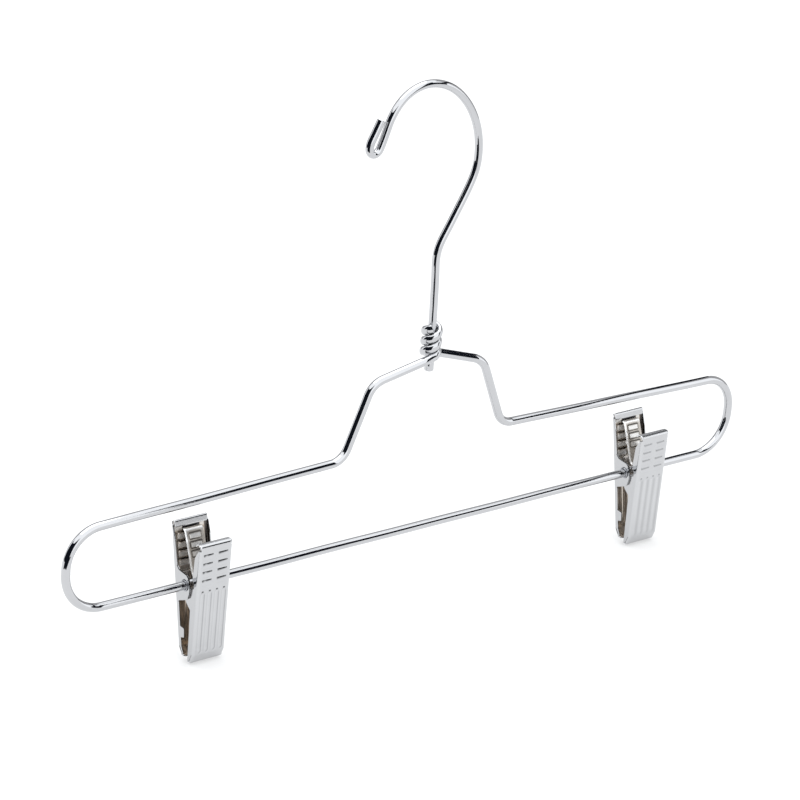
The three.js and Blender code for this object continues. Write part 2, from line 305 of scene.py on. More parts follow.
def sheet_mesh(outer, holes, grid, fold, press, thickness, edge=0.1, tone=None, inside_brown_and_shade=None):
    """A sheet cut to an outline in its flat state (u across, s along), pressed and folded.
    Returns verts, faces, which side each face is on (0 outside and edges, 1 inside), uvs,
    the tone of each vertex, painted shade and highlight outside and plain inside,
    and the brown tint and painted shade of each vertex on both sides."""
    loops = []
    for loop in [outer] + holes:
        closed = np.vstack([loop, loop[:1]])
        loops.append(resampled(closed, 0.32)[:-1])
    pts, edges = [], []
    for loop in loops:
        base = len(pts)
        pts += [tuple(p) for p in loop]
        edges += [(base + i, base + (i + 1) % len(loop)) for i in range(len(loop))]
    n_rim = len(pts)
    cand = [grid]
    for loop in loops:
        nxt, prv = np.roll(loop, -1, axis=0), np.roll(loop, 1, axis=0)
        t = nxt - prv
        t /= np.maximum(np.linalg.norm(t, axis=1), 1e-9)[:, None]
        nrm = np.stack([-t[:, 1], t[:, 0]], 1)
        cand += [loop + nrm * 0.13, loop - nrm * 0.13]
    ringed = np.vstack(cand[1:])
    keep = inside(ringed, loops[0])
    for h in loops[1:]:
        keep &= ~inside(ringed, h)
    for loop in loops:
        keep &= nearest(ringed, loop) > 0.12
    g = cand[0]
    ok = inside(g, loops[0])
    for h in loops[1:]:
        ok &= ~inside(g, h)
    for loop in loops:
        ok &= nearest(g, loop) > 0.24
    pts += [tuple(p) for p in ringed[keep]] + [tuple(p) for p in g[ok]]
    co, _, tri, _, _, _ = delaunay_2d_cdt([tuple(map(float, p)) for p in pts], edges, [], 0, 1e-6)
    flat = np.array([(v[0], v[1]) for v in co])
    tri = np.array([t for t in tri if len(t) == 3], int)
    mid = flat[tri].mean(1)
    good = inside(mid, loops[0])
    for h in loops[1:]:
        good &= ~inside(mid, h)
    tri = tri[good]
    a, b, c = flat[tri[:, 0]], flat[tri[:, 1]], flat[tri[:, 2]]
    area = (b[:, 0] - a[:, 0]) * (c[:, 1] - a[:, 1]) - (b[:, 1] - a[:, 1]) * (c[:, 0] - a[:, 0])
    tri[area < 0] = tri[area < 0][:, ::-1]
    tri = tri[np.abs(area) > 1e-9]
    used = np.unique(tri)
    remap = -np.ones(len(flat), int)
    remap[used] = np.arange(len(used))
    flat, tri = flat[used], remap[tri]
    count = {}
    for t in tri:
        for i in range(3):
            e = (int(t[i]), int(t[(i + 1) % 3]))
            count[e] = count.get(e, 0) + 1
    rim = [e for e in count if (e[1], e[0]) not in count]
    on_rim = np.zeros(len(flat), bool)
    for e in rim:
        on_rim[list(e)] = True
    u, s = flat[:, 0], flat[:, 1]
    depth = press(u, s) * ~on_rim
    outside = fold(u, s, depth + np.where(on_rim, edge, 0.0))
    within = fold(u, s, depth + thickness - np.where(on_rim, edge, 0.0))
    n = len(flat)
    verts = np.vstack([outside, within])
    faces = [tuple(t) for t in tri] + [(t[2] + n, t[1] + n, t[0] + n) for t in tri]
    side = [0] * len(tri) + [1] * len(tri)
    uv = flat * MM
    uvs = [uv[i] for t in tri for i in t] + [uv[i] for t in tri for i in (t[2], t[1], t[0])]
    for p, q in rim:
        faces.append((q, p, p + n, q + n))
        side.append(0)
        uvs += [uv[q], uv[p], uv[p] + 0.0006, uv[q] + 0.0006]
    # outside: painted shade and highlight; inside: the plain tone; both sides: brown tint and painted shade
    shade = np.zeros(n) if tone is None else tone(u, s)
    brown_and_shade = np.zeros(n) if inside_brown_and_shade is None else inside_brown_and_shade(u, s)
    return verts, faces, side, np.array(uvs), np.r_[shade, np.full(n, 0.0 if inside_brown_and_shade is None else TONE_0)], np.r_[brown_and_shade, brown_and_shade]


# tone is painted light: it runs from -0.3, a painted highlight brighter than the plate, through 0, the plain plate, to
# 1, painted shade; it is stored from 0 to 1
TONE_0 = 0.3 / 1.3

# ---------------------------------------------------------------------------
# Materials
# ---------------------------------------------------------------------------
def node_material(name):
    m = bpy.data.materials.new(name)
    m.use_nodes = True
    nt = m.node_tree
    nt.nodes.clear()
    out = nt.nodes.new("ShaderNodeOutputMaterial")
    sh = nt.nodes.new("ShaderNodeBsdfPrincipled")
    nt.links.new(sh.outputs["BSDF"], out.inputs["Surface"])
    sh.inputs["Metallic"].default_value = 1.0
    return m, nt, sh


def coords(nt, source, scale):
    if source == "uv":
        c = nt.nodes.new("ShaderNodeUVMap")
        c.uv_map = "along"
        sock = c.outputs["UV"]
    else:
        c = nt.nodes.new("ShaderNodeTexCoord")
        sock = c.outputs["Object"]
    mp = nt.nodes.new("ShaderNodeMapping")
    mp.inputs["Scale"].default_value = scale
    nt.links.new(sock, mp.inputs["Vector"])
    return mp.outputs["Vector"]


def noise(nt, vec, scale, detail=3.0, rough=0.55):
    n = nt.nodes.new("ShaderNodeTexNoise")
    n.inputs["Scale"].default_value = scale
    n.inputs["Detail"].default_value = detail
    n.inputs["Roughness"].default_value = rough
    nt.links.new(vec, n.inputs["Vector"])
    return n.outputs["Fac"]


def ramp(nt, fac, stops):
    r = nt.nodes.new("ShaderNodeValToRGB")
    el = r.color_ramp.elements
    while len(el) < len(stops):
        el.new(0.5)
    for e, (pos, col) in zip(el, stops):
        e.position = pos
        e.color = tuple(col) + (1.0,)
    nt.links.new(fac, r.inputs["Fac"])
    return r.outputs["Color"]


def spread(nt, fac, lo, hi, f0=0.3, f1=0.7):
    r = nt.nodes.new("ShaderNodeMapRange")
    r.inputs["From Min"].default_value = f0
    r.inputs["From Max"].default_value = f1
    r.inputs["To Min"].default_value = lo
    r.inputs["To Max"].default_value = hi
    nt.links.new(fac, r.inputs["Value"])
    return r.outputs["Result"]


def bumped(nt, sh, layers):
    """layers: (height socket, distance in metres, strength)."""
    prev = None
    for h, dist, strength in layers:
        b = nt.nodes.new("ShaderNodeBump")
        b.inputs["Distance"].default_value = dist
        b.inputs["Strength"].default_value = strength
        nt.links.new(h, b.inputs["Height"])
        if prev is not None:
            nt.links.new(prev, b.inputs["Normal"])
        prev = b.outputs["Normal"]
    nt.links.new(prev, sh.inputs["Normal"])


def wire_chrome(name, tone):
    """Bright plate over drawn wire: faint lengthwise draw lines, fine handling marks, slow plate ripple."""
    m, nt, sh = node_material(name)
    lines = noise(nt, coords(nt, "uv", (60.0, 4200.0, 1.0)), 1.0, 2.0)
    marks = noise(nt, coords(nt, "object", (1, 1, 1)), 900.0, 4.0, 0.6)
    slow = noise(nt, coords(nt, "object", (1, 1, 1)), 60.0, 2.0)
    nt.links.new(ramp(nt, slow, [(0.3, [c * 0.96 for c in tone]), (0.7, tone)]), sh.inputs["Base Color"])
    nt.links.new(spread(nt, marks, 0.03, 0.085), sh.inputs["Roughness"])
    bumped(nt, sh, [(slow, 0.00012, 0.16), (lines, 0.000006, 0.28), (marks, 0.000004, 0.22)])
    return m


def sheet_chrome(name, tone):
    """Plate over pressed sheet: bright, with a little orange-peel ripple and tiny pits; its colour carries painted
    shade in the sharp presses and painted highlights beside the flutes.
    """
    m, nt, sh = node_material(name)
    painted_light_attr = nt.nodes.new("ShaderNodeAttribute")
    painted_light_attr.attribute_name = "tone"
    peel = noise(nt, coords(nt, "object", (1, 1, 1)), 420.0, 2.0)
    fine = noise(nt, coords(nt, "object", (1, 1, 1)), 2600.0, 4.0, 0.6)
    # base colour from the tone number: a painted highlight up to 1.5 times the plate, painted shade down to 0.03 of it
    nt.links.new(ramp(nt, painted_light_attr.outputs["Fac"], [
        ((t + 0.3) / 1.3, [c * k for c in tone]) for t, k in (
            (-0.3, 1.5), (0.0, 1.05), (0.12, 1.0), (0.32, 0.86), (0.6, 0.5), (0.92, 0.16), (1.0, 0.03))]), sh.inputs["Base Color"])
    nt.links.new(spread(nt, fine, 0.07, 0.15), sh.inputs["Roughness"])
    bumped(nt, sh, [(peel, 0.00003, 0.12), (fine, 0.000005, 0.18)])
    return m


def inner_plate(name, tone, dark):
    """Plate on the inside of the jaws: its colour runs from light plate through brown to near-black painted shade, by a
    number painted on each vertex.
    """
    m, nt, sh = node_material(name)
    patch = noise(nt, coords(nt, "object", (1, 1, 1)), 240.0, 4.0, 0.6)
    fine = noise(nt, coords(nt, "object", (1, 1, 1)), 2400.0, 3.0)
    painted_light_attr = nt.nodes.new("ShaderNodeAttribute")
    painted_light_attr.attribute_name = "brown_and_shade"
    # base colour: light plate, browner and darker, then near-black painted shade
    nt.links.new(ramp(nt, painted_light_attr.outputs["Fac"], [
        (0.0, tone), (0.33, [0.6 * a + 0.4 * b for a, b in zip(dark, tone)]), (0.6, dark), (0.95, (0.05, 0.05, 0.055))]), sh.inputs["Base Color"])
    nt.links.new(spread(nt, painted_light_attr.outputs["Fac"], 0.5, 1.0, 0.0, 0.9), sh.inputs["Metallic"])
    nt.links.new(spread(nt, fine, 0.05, 0.13), sh.inputs["Roughness"])
    bumped(nt, sh, [(patch, 0.00003, 0.14), (fine, 0.000005, 0.2)])
    return m


def strip_plate(name, tone, dark):
    """Rolled spring strip under bright plate: faint lengthwise rolling lines; its colour carries a near-white painted
    highlight and painted shade from the tone number.
    """
    m, nt, sh = node_material(name)
    lines = noise(nt, coords(nt, "uv", (5200.0, 90.0, 1.0)), 1.0, 3.0)
    patch = noise(nt, coords(nt, "object", (1, 1, 1)), 200.0, 3.0)
    painted_light_attr = nt.nodes.new("ShaderNodeAttribute")
    painted_light_attr.attribute_name = "tone"
    sh.inputs["Metallic"].default_value = 0.55
    # base colour: near white for painted highlights, the strip's tone, then darker painted shade down to near black
    nt.links.new(ramp(nt, painted_light_attr.outputs["Fac"], [
        (0.0, (0.95, 0.95, 0.95)), (0.08, tone), (0.3, dark), (0.95, [c * 0.05 for c in dark])]), sh.inputs["Base Color"])
    nt.links.new(spread(nt, lines, 0.10, 0.18), sh.inputs["Roughness"])
    bumped(nt, sh, [(lines, 0.000005, 0.2), (patch, 0.00003, 0.12)])
    return m


CHROME = (0.55, 0.555, 0.57)
m_hook = wire_chrome("hook_plate", CHROME)
m_frame = wire_chrome("frame_plate", CHROME)
m_jaw = sheet_chrome("jaw_plate", (0.55, 0.555, 0.567))
m_in = inner_plate("jaw_inside", (0.70, 0.685, 0.66), (0.48, 0.41, 0.34))
m_spring = strip_plate("spring_strip", (0.66, 0.655, 0.645), (0.42, 0.39, 0.355))
m_tube = wire_chrome("tube_plate", (0.50, 0.51, 0.54))


# ---------------------------------------------------------------------------
# Frame wire
# ---------------------------------------------------------------------------
x_end = (FRAME_W - FRAME_D) / 2


def half_frame():
    pts = filleted([
        (0, 0, 0), (x_end, 0, 0), (x_end, 0, RAIL_H), (SHOULDER_X_LOW, 0, RAIL_H + RAIL_RISE),
        (SHOULDER_X_TOP, 0, SHOULDER_Z_TOP), (ARM_X, COIL_R, COIL_Z - ARM_DROP), (0, COIL_R, COIL_Z),
    ], [END_R_LOW, END_R_TOP, SHOULDER_R_LOW, SHOULDER_R_TOP, 18.0], 3.0)
    n = round(COIL_TURNS * 90)
    k = COIL_TURNS * np.arange(1, n + 1) / n
    a = math.pi / 2 + 2 * math.pi * k
    helix = np.stack([COIL_R * np.cos(a), COIL_R * np.sin(a), COIL_Z + COIL_PITCH * k], 1)
    return np.vstack([resampled(pts, 3.0), helix]), n


def frame_path():
    h, n_coil = half_frame()
    other = (h[1:] * np.array([-1, -1, 1]))[::-1]
    path = np.vstack([other, h])
    # a bent wire is never dead straight: a slow wander that dies out at the coil
    along = np.r_[0, np.cumsum(np.linalg.norm(np.diff(path, axis=0), axis=1))]
    total = along[-1]
    fade = smoothstep(75, 140, along) * smoothstep(75, 140, total - along)
    for axis in (1, 2):
        wander = sum(0.034 * np.sin(2 * np.pi * along / w + ph)
                     for w, ph in zip((61.0, 97.0, 173.0), rng.uniform(0, 6.28, 3)))
        path[:, axis] += wander * fade
    coil_len = along[n_coil]
    flat = (1 - COIL_FLAT) * np.maximum(1 - smoothstep(coil_len - 1, coil_len + 7, along),
                                        1 - smoothstep(coil_len - 1, coil_len + 7, total - along))
    return path, flat


def place(ob, x=0.0, lean=0.0):
    """Lay a piece modelled about the pivot where the CAD has it; the mesh itself is moved."""
    ob.data.transform(Matrix.Translation((x * MM, 0, Z_BAR * MM)) @ Matrix.Rotation(math.radians(-lean), 4, "X"))
    ob.data.update()
    return ob


line, flat = frame_path()
v, f, uv = rounded_wire(line, FRAME_D / 2, 36, flat=flat)
ob = place(mesh_object("frame_wire_bent", v, f, [m_frame], uvs=uv))
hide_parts("frame_wire")
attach(ob, "frame")


# ---------------------------------------------------------------------------
# Hook wire
# ---------------------------------------------------------------------------
def hook_path():
    line = centripetal([(x, 0.0, z) for x, z in HOOK_LINE], 16)
    stem = np.array([(0, 0, z) for z in np.linspace(HEAD_Z0 + 0.6, 112.0, 30)])
    path = evenly(np.vstack([stem, line]), 0.6)
    # the stem of the photographed hook leans a little before it bends
    neck = path[:, 2] < 162
    path[neck, 0] += np.interp(path[neck, 2], (92, 104, 113, 121, 125, 129.5, 134, 138, 146, 154, 162),
                               (0, -0.34, -0.62, -0.95, -0.85, -0.3, -0.35, -0.5, -0.5, 0.2, 0))
    # even out the curvature between the measured points, less in the tight fold at the tip
    along = np.r_[0, np.cumsum(np.linalg.norm(np.diff(path, axis=0), axis=1))]
    length = along[-1]
    out = path.copy()
    for i in range(len(path)):
        left = length - along[i]
        sigma = 3.2 if left > 34 else 0.5 + 2.7 * max(0.0, (left - 22) / 12)
        sigma = min(sigma, 0.2 + along[i] / 3, 0.2 + left / 3)
        w = np.exp(-0.5 * ((along - along[i]) / sigma) ** 2)
        out[i] = (path * w[:, None]).sum(0) / w.sum()
    out[:, 1] += 0.05 * np.sin(2 * np.pi * along / 83.0 + 0.7) * smoothstep(45, 80, along)
    return out


v, f, uv = rounded_wire(hook_path(), HOOK_D / 2, 36, 0.2)
ob = mesh_object("hook_wire_bent", v, f, [m_hook], uvs=uv)
# the upset head below the coil
prof = filleted([(HEAD_Z0, 0.02), (HEAD_Z0, HEAD_R), (HEAD_Z1, HEAD_R), (HEAD_Z1 + 0.5, HOOK_D / 2 - 0.25), (HEAD_Z0 + 2.2, HOOK_D / 2 - 0.6), (HEAD_Z0 + 1.6, 0.02)],
                [0.7, 0.7, 0.1, 0.4], 15)[:, :2]
hv, hf, huv = lathe_x(prof, 36)
hv = np.stack([hv[:, 1], hv[:, 2], hv[:, 0]], 1)
head = mesh_object("hook_head", hv, hf, [m_hook], uvs=huv)
for o in (ob, head):
    place(o)
    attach(o, "hook")
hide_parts("hook_wire")


# ---------------------------------------------------------------------------
# Clips
# ---------------------------------------------------------------------------
def out_f(z):
    return -(HALF_LOW + (z - SLOPE_Z) * (FRONT_HALF - HALF_LOW) / (FRONT_TOP - SLOPE_Z))


def out_r(z):
    return -(HALF_LOW + (z - SLOPE_Z) * (REAR_HALF - HALF_LOW) / (REAR_TOP - SLOPE_Z))


def arc(r, a0, a1, n):
    a = np.radians(np.linspace(a0, a1, n + 1))
    return list(zip(r * np.cos(a), r * np.sin(a)))


# side-view edges of the flanges, mouth to top
FRONT_EDGE = [
    (-3.3, -28.75), (-1.55, -32.1), (-0.7, -32.1), (-0.65, -31.3), (-2.5, -10.1), (0.0, -7.5),
    *arc(4.5, -62, 60, 24), *arc(PIVOT_HOLE_R, 60, -122, 30),
    (-2.7, -0.9), (-3.7, -0.5), (-4.7, -0.35), (-5.1, 0.1), (-5.15, 1.7), (-4.85, 2.4), (-4.3, 2.65), (out_f(4.9) + 3.8, 4.9),
    (out_f(13.0) + 3.3, 13.0), (out_f(16.0) + 1.5, 16.0), (out_f(16.6) + 0.9, 16.6),
]
REAR_EDGE = [
    (-3.56, -26.5), (-1.75, -29.5), (-1.2, -29.4), (-1.35, -28.6), (out_r(-26.2) + 2.1, -26.0), (out_r(-22.8) + 2.1, -22.8),
    (-0.6, -22.4), (-0.6, -18.4), (out_r(-17.9) + 2.1, -17.9), (out_r(-8.2) + 2.2, -8.2), (-4.1, -7.6),
    (0.6, -6.1), (2.4, -5.0), (3.3, -2.9), (3.6, -0.8), (3.5, 1.3), (2.7, 3.3), (1.4, 4.6),
    (-3.6, 5.6), (-4.9, 6.9), (out_r(9) + 2.5, 9.0), (out_r(17.0) + 2.1, 17.0), (out_r(21.4) + 1.3, 21.4), (out_r(22.8) + 0.9, 22.8),
]

BEND_R = 0.95


class Jaw:
    """One pressed jaw: its outside line, how the flat sheet folds, and what is pressed into it."""

    def __init__(self, width, top, bend, mouth, out, edge, hole, dashes, grooves, rolled, look, painted_shade_edge=None):
        self.look, self.hem = look, bool(hole)
        self.w, self.a = width, width / 2 - BEND_R
        self.arc_len = BEND_R * math.pi / 2
        p0, p1 = np.array([out(bend), bend]), np.array([out(top), top])
        self.t = unit(p1 - p0)
        self.n = np.array([self.t[1], -self.t[0]])
        # mouth lip, bevel and panel, then the rolled top
        roll = self.rolled(*rolled)
        z_roll = top - roll[:, 1].max()
        start = np.array([out(z_roll), z_roll])
        low = filleted([(-MOUTH_HALF_GAP - 0.05, mouth), (-HALF_TIP, mouth), tuple(p0), tuple(start)], [0.6, 0.55], 6.0)[:, :2]
        line = resampled(np.vstack([low, start + roll]), 0.3)
        self.line = line
        self.along = np.r_[0, np.cumsum(np.linalg.norm(np.diff(line, axis=0), axis=1))]
        tan = np.gradient(line, self.along, axis=0)
        tan /= np.linalg.norm(tan, axis=1)[:, None]
        self.norm = np.stack([tan[:, 1], -tan[:, 0]], 1)
        k = int(np.argmin(np.abs(line[:, 1]) + 100 * (np.arange(len(line)) > len(line) * 0.8)))
        self.ref, self.ref_s = line[k], self.along[k]
        self.bend = bend
        self.s_low = self.s_of(bend) + 0.5
        self.s_roll = self.s_of(z_roll)
        self.s_top = self.s_roll + 0.5
        self.total = self.along[-1]
        self.edge, self.hole, self.dashes, self.grooves = edge, hole, dashes, grooves
        self.painted_shade_edge = None
        if painted_shade_edge:
            one = np.array([self.flat(y, z) for y, z in painted_shade_edge])
            self.painted_shade_edge = np.vstack([one, one[::-1]])

    def rolled(self, bends, tail):
        """The rolled top, from where it leaves the panel."""
        p, d, pts = np.zeros(2), 0.0, []
        for r, deg in bends:
            turn = math.radians(deg)
            m = max(3, math.ceil(deg / 6))
            for k in range(1, m + 1):
                a = d + turn * k / m
                pts.append(p + r * ((math.sin(a) - math.sin(d)) * self.t + (math.cos(d) - math.cos(a)) * self.n))
            p, d = pts[-1], d + turn
        pts.append(p + tail * (math.cos(d) * self.t + math.sin(d) * self.n))
        return np.array(pts)

    def s_of(self, z):
        return self.ref_s + (z - self.ref[1]) / self.t[1]

    def flat(self, y, z):
        d = np.array([y, z]) - self.ref
        return np.array([self.a + self.arc_len + d @ self.n - BEND_R, self.ref_s + d @ self.t])

    def fold(self, u, s, tau):
        """Where a point of the flat sheet ends up; tau is how far below the outside surface it lies."""
        au, sg = np.abs(u), np.sign(u)
        py, pz = (np.interp(s, self.along, self.line[:, k]) for k in (0, 1))
        ny, nz = (np.interp(s, self.along, self.norm[:, k]) for k in (0, 1))
        main = self.ref[None, :] + (s - self.ref_s)[:, None] * self.t[None, :]
        tab = ((s < self.s_low) & (au < self.a + 1.455)) | ((s > self.s_top) & (au < self.a + 0.97))
        turn = (0.55 + 0.45 * smoothstep(2.2, 3.2, s)) * smoothstep(self.s_top + 1.0, self.s_top - 0.1, s)
        turn = np.where(tab, turn, 1.0)
        bend = np.maximum(turn, 0.002) / BEND_R
        over = np.maximum(au - self.a, 0)
        phi = np.minimum(over * bend, math.pi / 2)
        x = np.minimum(au, self.a) + (1 / bend - tau) * np.sin(phi)
        d = 1 / bend - (1 / bend - tau) * np.cos(phi) + np.maximum(over - math.pi / 2 / bend, 0)
        flange = (au > self.a) & ~tab
        y = np.where(flange, main[:, 0] + self.n[0] * d, py + ny * d)
        z = np.where(flange, main[:, 1] + self.n[1] * d, pz + nz * d)
        return np.stack([sg * x, y, z], 1)

    def outline(self):
        a = self.a
        wb, wm, wt = a + 0.93, a + 1.42, a + 0.85
        right = [(0.0, 0.0), (wb - 0.5, 0.0), (wb - 0.1, 0.3), (wb, 0.9), (wb, 2.3), (wm - 0.1, 2.95), (wm, 3.3),
                 (wm, self.s_low - 0.45), (wm + 0.01, self.s_low - 0.12)]
        right += [tuple(self.flat(y, z)) for y, z in self.edge]
        # a small round relief where the flange ends, then the roll with its corners taken off
        sf, sr = self.flat(*self.edge[-1])[1], self.s_roll
        if self.hem:
            right += [(a + 0.98, sf + 0.15), (wt + 0.03, sf + 0.6), (wt, sf + 1.2), (wt - 0.14, sf + 1.5), (wt - 0.38, sf + 1.85), (wt - 0.55, sf + 2.2)]
        else:
            right += [(a + 0.98, sf + 0.05), (a + 0.45, sf + 0.12), (a + 0.25, sf + 0.4), (a + 0.45, sf + 0.68), (wt, sf + 0.75)]
            right += [(wt, sr + 1.0), (wt - 0.16, sr + 1.7), (wt - 0.45, sr + 2.4), (wt - 0.62, sr + 3.2)]
        right += [(wt - 0.62, self.total - 0.5), (wt - 1.1, self.total), (0.0, self.total)]
        right = np.array(right)
        left = (right * np.array([-1, 1]))[::-1]
        return soften(np.vstack([right, left[1:-1]]), 0.45)

    def holes(self):
        if not self.hole:
            return []
        one = np.array([self.flat(y, z) for y, z in arc(self.hole, 0, 360, 40)[:-1]])
        return [one, one * np.array([-1, 1])]

    def press(self, u, s):
        z = self.ref[1] + (s - self.ref_s) * self.t[1]
        on = 1 - smoothstep(self.a - 0.25, self.a + 0.05, np.abs(u))
        d = np.zeros(len(u))
        # two columns of short scoops, steep above and running out below
        for u0 in (-3.6, 3.6):
            for zt in self.dashes:
                q = zt - z
                fall = smoothstep(-0.05, 0.15, q) * (0.75 * np.exp(-np.maximum(q, 0) / 0.6) + 0.25 * smoothstep(2.75, 1.5, q))
                wide = 1 - smoothstep(1.8, 2.7, np.abs(u - u0))
                d = np.maximum(d, 0.62 * fall * wide)
        # four long flutes, deepest at a pointed top, running out round below
        top, low = self.grooves
        for u0 in (-5.22, -1.74, 1.74, 5.22):
            q = top - z
            half = (0.42 + 1.18 * smoothstep(0.1, 2.4, q)) * (0.4 + 0.6 * smoothstep(low, low + 2.4, z))
            g = 0.5 * (1 + np.cos(np.pi * np.minimum(np.abs(u - u0) / half, 1))) * smoothstep(-0.06, 0.15, q) * smoothstep(low, low + 2.6, z)
            d = np.maximum(d, g * (0.24 + 0.45 * np.exp(-np.maximum(q, 0) / 0.6)))
        # the sheet springs out a little between its flanges
        crown = -0.05 * (1 - np.clip(u / self.a, -1, 1) ** 2) * smoothstep(-29, -22, z) * smoothstep(self.dashes[0] + 3, self.dashes[0] - 2, z)
        return d * on + crown

    def tone(self, u, s):
        """Painted light on the plate: 1, painted shade, in the sharp corners of the presses, painted shade and painted
        highlights on the walls of the flutes, painted shade on the flanges and along the ear's edge.
        """
        look = self.look
        z = self.ref[1] + (s - self.ref_s) * self.t[1]
        au = np.abs(u)
        d = 0.11 + 0.02 * np.sin(0.9 * u + 0.31 * z) * np.sin(0.23 * z - 0.5 * u)
        # painted shade: the flanges beyond the bend are darker than the panel
        d = d * (1 - smoothstep(self.a - 0.5, self.a, au)) + 0.22 * smoothstep(self.a + 0.8, self.a + self.arc_len, au)
        # painted shade: a dark line along the steep top of each scoop, broken in the left column, and a faint line at
        # its foot
        for u0 in (-3.6, 3.6):
            for zt in self.dashes:
                q = zt - z
                wide = 1 - smoothstep(2.0, 2.6, np.abs(u - u0))
                line = smoothstep(-0.1, 0.08, q) * smoothstep(1.35 - 0.14 * (u - u0), 0.6, q)
                if u0 < 0:
                    line = line * (1 - look["gap"] * np.exp(-(((u - u0 + 0.7) / 0.6) ** 2)))
                foot = np.exp(-(((q - 2.6) / 0.22) ** 2))
                d = np.maximum(d, np.maximum(look["line"] * line, 0.22 * foot) * wide)
        # painted shade at the flute tops and painted reflection bands along the flute walls; a negative weight is a
        # painted highlight
        top, low = self.grooves
        bands, dots = np.zeros(len(u)), np.zeros(len(u))
        for u0 in (-5.22, -1.74, 1.74, 5.22):
            q = top - z
            dot = smoothstep(-0.1, 0.08, q) * smoothstep(1.2, 0.4, q) * (1 - smoothstep(0.3, 0.7, np.abs(u - u0)))
            r = np.hypot(u - u0, np.maximum(low + 0.95 - z, 0))
            run = smoothstep(0.5, 2.0, q)
            for off, wide, shade_gain in look["bands"]:
                if off > 0:
                    e = np.exp(-(((r - off) / wide) ** 2)) * smoothstep(-0.35, 0.35, u - u0)
                else:
                    e = np.exp(-(((u - u0 - off) / wide) ** 2)) * smoothstep(low - 0.2, low + 1.2, z)
                bands += shade_gain * e * run
            dots = np.maximum(dots, look["dot"] * dot)
        d = np.maximum(d + bands * (1 - smoothstep(self.a - 0.6, self.a, au)), dots)
        # painted shade: a black outline along the rear jaw's ear, where the gap between the ears lies in shadow
        if self.painted_shade_edge is not None:
            d = np.maximum(d, 1.0 * smoothstep(0.36, 0.1, nearest(np.stack([au, s], 1), self.painted_shade_edge)))
        return (d + 0.3) / 1.3

    def inside_brown_and_shade(self, u, s):
        """Brown tint and painted shade inside: browner and darker towards the mouth, painted shade inside the upper
        flanges.
        """
        z = self.ref[1] + (s - self.ref_s) * self.t[1]
        brown_and_shade = 0.6 * (1 - np.clip((z + 8) / 24, 0, 1))
        if not self.hem:
            return np.maximum(brown_and_shade, 0.9 * smoothstep(self.a + 0.2, self.a + 1.2, np.abs(u)) * smoothstep(5, 9, z))
        # painted light: the upper inside is shaded, the dashes show through as light boxes, with painted shade in the
        # corners above them
        brown_and_shade = np.maximum(brown_and_shade, 0.72 * smoothstep(5, 8, z) * smoothstep(20.4, 19.6, z))
        for u0 in (-3.6, 3.6):
            for zt in self.dashes:
                q = zt - z
                wide = 1 - smoothstep(2.5, 3.0, np.abs(u - u0))
                brown_and_shade = brown_and_shade * (1 - smoothstep(0.25, 0.6, q) * smoothstep(3.0, 2.6, q) * wide)
                brown_and_shade = np.maximum(brown_and_shade, 0.95 * np.exp(-(((q + 0.1) / 0.5) ** 2)) * wide)
        # painted shade deep inside the flanges, and under the hem above the top dash
        deep = np.where(u > 0, smoothstep(self.a - 1.2, self.a - 0.95, u), smoothstep(self.a + 0.2, self.a + 1.2, -u))
        foot = smoothstep(19.4, 19.7, z) * smoothstep(-4.2, -3.6, u) * smoothstep(5.0, 4.4, u)
        return np.maximum(brown_and_shade, np.maximum(0.9 * deep * smoothstep(5, 9, z), 0.95 * foot))

    def grid(self):
        a, al = self.a, self.arc_len
        us = list(np.arange(-a, a + 1e-6, 2 * a / round(2 * a / 0.2)))
        bend = list(a + al * (np.arange(1, 9) / 8))
        reach = max(self.flat(y, z)[0] for y, z in self.edge)
        fl = list(np.arange(a + al + 0.42, reach, 0.42))
        us = np.array([-x for x in reversed(bend + fl)] + us + bend + fl)
        # rows closer together where the presses start
        fine = [self.s_of(z + q) for z in self.dashes for q in (0.12, 0.03, -0.05, -0.13, -0.22, -0.34, -0.48, -0.64, -0.82, -1.02)]
        fine += [self.s_of(self.grooves[0] + q) for q in (0.12, 0.03, -0.05, -0.13, -0.22, -0.34, -0.48, -0.64, -0.82)]
        fine += [self.s_of(self.bend) + q for q in (-0.4, -0.25, -0.12, 0.0, 0.12, 0.25, 0.4)]
        fine = np.array(sorted(fine))
        coarse = np.arange(0.15, self.total, 0.27)
        coarse = coarse[np.min(np.abs(coarse[:, None] - fine[None, :]), axis=1) > 0.11]
        ss = np.sort(np.r_[coarse, fine])
        g = np.stack(np.meshgrid(us, ss, indexing="ij"), -1).reshape(-1, 2)
        lowest = self.flat(*self.edge[1])[1]
        if lowest < 0:
            extra = np.arange(lowest, 0.1, 0.35)
            h = np.stack(np.meshgrid(us, extra, indexing="ij"), -1).reshape(-1, 2)
            g = np.vstack([g, h])
        return g + 1e-4 * np.stack([np.sin(g[:, 1] * 37.0), np.cos(g[:, 0] * 29.0)], 1)

    def mesh(self):
        return sheet_mesh(self.outline(), self.holes(), self.grid(), self.fold, self.press, SHEET, tone=self.tone, inside_brown_and_shade=self.inside_brown_and_shade)


